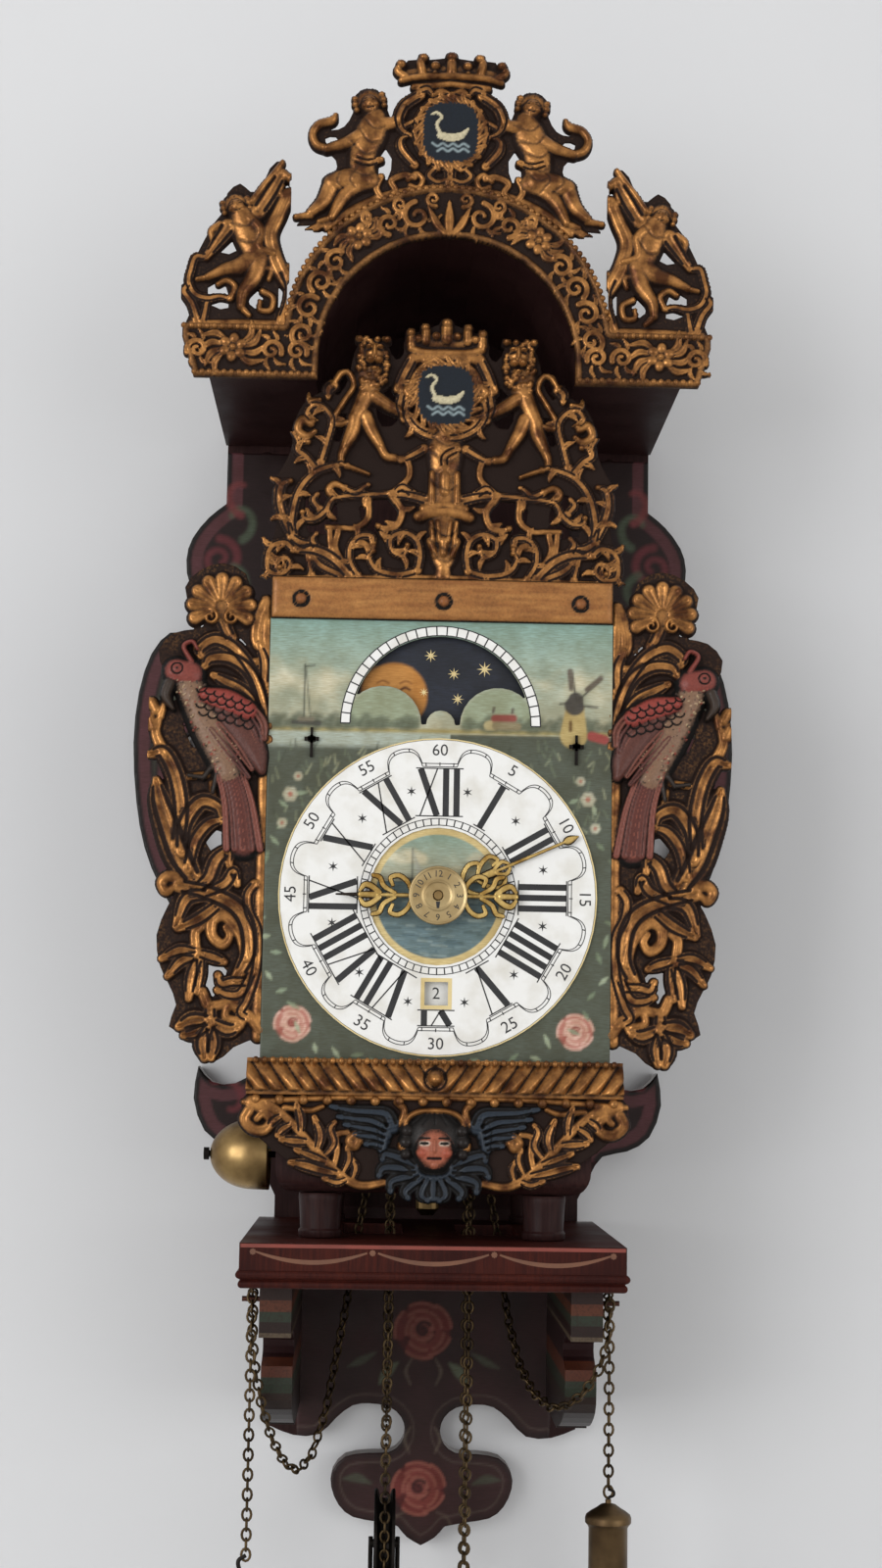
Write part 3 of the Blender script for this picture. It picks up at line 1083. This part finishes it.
def make_main_weight(brass, iron):
    """Weight hung from a stirrup, which holds the axle of the chain pulley."""
    x = -SPROCKET_PITCH_R
    inner = PULLEY_WIDE / 2 + SEAT_GAP
    outer = inner + STIRRUP_THICK
    top = PULLEY_Z + STIRRUP_WIDE
    foot = PULLEY_Z - STIRRUP_DROP
    floor = foot + 2 * STIRRUP_THICK
    loop = [(x - outer, top), (x - outer, foot), (x + outer, foot), (x + outer, top), (x + inner, top)]
    loop += [(x + inner, floor), (x - inner, floor), (x - inner, top)]
    half = STIRRUP_WIDE / 2
    name = "main_weight"
    made = prism(name, [loop], "xz", -LOOP_DEPTH - half, -LOOP_DEPTH + half, iron, (x, -LOOP_DEPTH, PULLEY_Z))
    axle = (0, -LOOP_DEPTH, PULLEY_Z)
    cut(made, rod("axle_cut_tool", PULLEY_AXLE_R + RUN_GAP, x - 2 * outer, x + 2 * outer, "x", axle, iron))
    high = MAIN_WEIGHT_CROWN
    shoulder = foot - high
    base = shoulder - MAIN_WEIGHT_LONG
    root = foot + STIRRUP_THICK
    neck = [(0, root), (STIRRUP_THICK, root), (STIRRUP_THICK, foot - high / 2)]
    wide = MAIN_WEIGHT_R
    body = [(wide - high, shoulder + high / 4), (wide, shoulder), (wide, base), (0, base)]
    fuse(made, turned("weight_tool", neck + body, "z", (x, -LOOP_DEPTH, 0), brass, 24))


def make_main_pulley(iron):
    half = PULLEY_WIDE / 2
    reach = half + SEAT_GAP + STIRRUP_THICK
    flange = PULLEY_PITCH_R + PULLEY_FLANGE
    groove = PULLEY_PITCH_R - CHAIN_GROOVE
    cheek = half - PULLEY_FLANGE
    axle = PULLEY_AXLE_R
    profile = [(0, -reach), (axle, -reach), (axle, -half), (flange, -half), (flange, -cheek)]
    profile += [(groove, -cheek), (groove, cheek), (flange, cheek), (flange, half), (axle, half)]
    profile += [(axle, reach), (0, reach)]
    turned("main_pulley", profile, "x", (-SPROCKET_PITCH_R, -LOOP_DEPTH, PULLEY_Z), iron, 24)


def make_counter_ring(iron):
    loop_bottom = RING_LOOP_Z - RING_LOOP_R
    centre_z = loop_bottom + CHAIN_GROOVE - (RING_MAJOR_R - RING_MINOR_R)
    profile = [(RING_MAJOR_R + u, v) for u, v in circle((0, 0), RING_MINOR_R, 8)]
    turned("counter_ring", profile, "y", (SPROCKET_PITCH_R, -LOOP_DEPTH, centre_z), iron, 20, closed=True)


def make_alarm_weights(brass):
    front_y = -NAIL_DEPTH - NAIL_TURN_R
    top = NAIL_Z - MOTION_GAP - ALARM_DROP_LONG - SEAT_GAP
    shoulder = top - ALARM_WEIGHT_R
    foot = shoulder - ALARM_WEIGHT_LONG
    wide = ALARM_WEIGHT_R
    body = wide - ALARM_CAP_LIP
    profile = [(0, top), (NAIL_R, top), (NAIL_R, shoulder + wide / 3), (body, shoulder)]
    profile += [(wide, shoulder - wide / 4), (body, shoulder - wide / 2), (body, foot), (0, foot)]
    origin = (NAIL_CHAIN_X, -NAIL_DEPTH, NAIL_Z)
    turned("alarm_weight", profile, "z", (NAIL_CHAIN_X, front_y, 0), brass, 24, origin=origin)
    top = NAIL_Z - ALARM_TAIL_LONG - SEAT_GAP
    drop = top - ALARM_END_LONG
    wide = ALARM_END_R
    profile = [(0, top), (NAIL_R, top), (NAIL_R, drop + 2 * wide), (wide / 2, drop + 1.8 * wide)]
    profile += [(wide, drop + 0.8 * wide), (wide / 2, drop), (0, drop)]
    turned("alarm_chain_end", profile, "z", (-NAIL_CHAIN_X, front_y, 0), brass, 16)


def half_turn(x, y, z, radius, plane, count):
    """Points over the top of a wheel or nail, in the order of the plane's first axis."""
    found = []
    for u, v in arc((0, 0), radius, 180, 0, count):
        found.append((x + u, y, z + v) if plane == "xz" else (x, y + u, z + v))
    return found


def make_sprocket_chain(name, depth, iron):
    over = half_turn(0, -depth, GREAT_Z, SPROCKET_PITCH_R, "xz", 12)
    ends = [(side * SPROCKET_PITCH_R, -depth, GREAT_Z - CHAIN_LEAD) for side in (-1, 1)]
    tube(name, [ends[0], *over, ends[1]], CHAIN_R, iron)


def make_weight_chain(iron):
    x = -SPROCKET_PITCH_R
    top = GREAT_Z - CHAIN_LEAD - SEAT_GAP
    down = straight((x, -GOING_DEPTH, top), (x, -GOING_DEPTH, PULLEY_Z), CHAIN_POINT_STEP)
    under = [(x, -LOOP_DEPTH + u, PULLEY_Z + v) for u, v in arc((0, 0), PULLEY_PITCH_R, 180, 360, 10)]
    up = straight((x, -STRIKE_DEPTH, PULLEY_Z), (x, -STRIKE_DEPTH, top), CHAIN_POINT_STEP)
    tube("weight_chain", [*down, *under[1:-1], *up], CHAIN_R, iron)


def make_ring_chain(iron):
    x = SPROCKET_PITCH_R
    top = GREAT_Z - CHAIN_LEAD - SEAT_GAP
    under = [(x, -LOOP_DEPTH + u, RING_LOOP_Z + v) for u, v in arc((0, 0), RING_LOOP_R, 180, 360, 8)]
    drop = (SHELF_BOTTOM_Z + RING_LOOP_Z) / 2
    near = (GOING_DEPTH - STRIKE_DEPTH) / 2 * 0.75
    down = [(x, -GOING_DEPTH, top), (x, -GOING_DEPTH, SEAT_TOP_Z), (x, -GOING_DEPTH, SHELF_BOTTOM_Z)]
    down += [(x, -LOOP_DEPTH - near, drop)]
    down = spread([*down, under[0]], CHAIN_POINT_STEP)
    up = [(place[0], -2 * LOOP_DEPTH - place[1], place[2]) for place in reversed(down)]
    tube("ring_chain", [*down, *under[1:-1], *up], CHAIN_R, iron)


def make_alarm_chain(iron):
    """From its hanging tail over one nail, up over the alarm wheel and down to the other nail."""
    front_y = -NAIL_DEPTH - NAIL_TURN_R
    left = -NAIL_CHAIN_X
    tail = straight((left, front_y, NAIL_Z - ALARM_TAIL_LONG), (left, front_y, NAIL_Z), CHAIN_POINT_STEP)
    over_left = half_turn(left, -NAIL_DEPTH, NAIL_Z, NAIL_TURN_R, "yz", 6)[1:]
    left_loop = in_mm3([
        (-81, -146, -204), (-79.5, -142, -218), (-76.5, -136, -234), (-72, -127, -250), (-66, -117, -263),
        (-60, -107, -268), (-54, -96, -262), (-48, -84, -243), (-42.5, -70, -212), (-38.3, -60, -188),
        (-35.8, -56.5, -167), (-31, -56, -142), (-25.5, -56, -118),
    ])
    over_wheel = half_turn(0, -ALARM_WHEEL_DEPTH, ALARM_WHEEL_Z, ALARM_WHEEL_PITCH_R, "xz", 12)
    right_loop = in_mm3([
        (25.5, -56, -118), (31, -56, -142), (35.8, -56.5, -167), (38, -60, -188), (40.5, -69, -204),
        (44.5, -85, -220), (50, -105, -231), (57, -124, -235), (64, -137.5, -232), (71, -144, -225),
        (77, -147, -215), (80.8, -147, -204),
    ])
    over_right = half_turn(NAIL_CHAIN_X, -NAIL_DEPTH, NAIL_Z, NAIL_TURN_R, "yz", 6)[::-1]
    hang_left = spread([over_left[-1], *left_loop, over_wheel[0]], CHAIN_POINT_STEP)
    hang_right = spread([over_wheel[-1], *right_loop, over_right[0]], CHAIN_POINT_STEP)
    route = [*tail, *over_left[:-1], *hang_left, *over_wheel[1:-1], *hang_right, *over_right[1:]]
    tube("alarm_chain", route, CHAIN_R, iron)
    top = NAIL_Z - MOTION_GAP
    foot = top - ALARM_DROP_LONG
    drop = straight((NAIL_CHAIN_X, front_y, top), (NAIL_CHAIN_X, front_y, foot), CHAIN_POINT_STEP)
    tube("alarm_drop_chain", drop, CHAIN_R, iron)


def main():
    clear_scene()
    case_paint = material("brown_black_paint", (0.055, 0.028, 0.026), 0.45, 0.0)
    shelf_paint = material("red_brown_paint", (0.10, 0.032, 0.026), 0.45, 0.0)
    gilt = material("aged_gilding", (0.33, 0.17, 0.05), 0.38, 0.7)
    dial_paint = material("painted_dial_sheet", (0.20, 0.26, 0.22), 0.5, 0.0)
    enamel = material("white_dial_paint", (0.80, 0.80, 0.78), 0.4, 0.0)
    brass = material("clock_brass", (0.52, 0.36, 0.13), 0.3, 1.0)
    iron = material("black_iron", (0.05, 0.045, 0.04), 0.5, 0.8)
    steel = material("clock_steel", (0.30, 0.30, 0.30), 0.35, 1.0)
    make_backboard(case_paint)
    make_hood_body(case_paint)
    make_hood_front(gilt)
    make_hood_crest(gilt)
    make_shelf(shelf_paint)
    make_bracket("bracket_left", -1, shelf_paint, iron)
    make_bracket("bracket_right", 1, shelf_paint, iron)
    make_stool(case_paint)
    make_cage(iron)
    make_bars(brass)
    make_door("side_door_left", -1, case_paint)
    make_door("side_door_right", 1, case_paint)
    make_trains(brass)
    make_alarm_wheel(brass)
    make_anchor(steel)
    make_pendulum(brass)
    make_dial(dial_paint, enamel, iron)
    make_motion_work(brass)
    make_hands(brass)
    make_dial_ornaments(gilt)
    make_bell(brass, iron)
    make_hammer(steel)
    make_main_weight(brass, iron)
    make_main_pulley(iron)
    make_counter_ring(iron)
    make_alarm_weights(brass)
    make_sprocket_chain("going_chain", GOING_DEPTH, iron)
    make_sprocket_chain("strike_chain", STRIKE_DEPTH, iron)
    make_weight_chain(iron)
    make_ring_chain(iron)
    make_alarm_chain(iron)


if __name__ == "__main__":
    main()
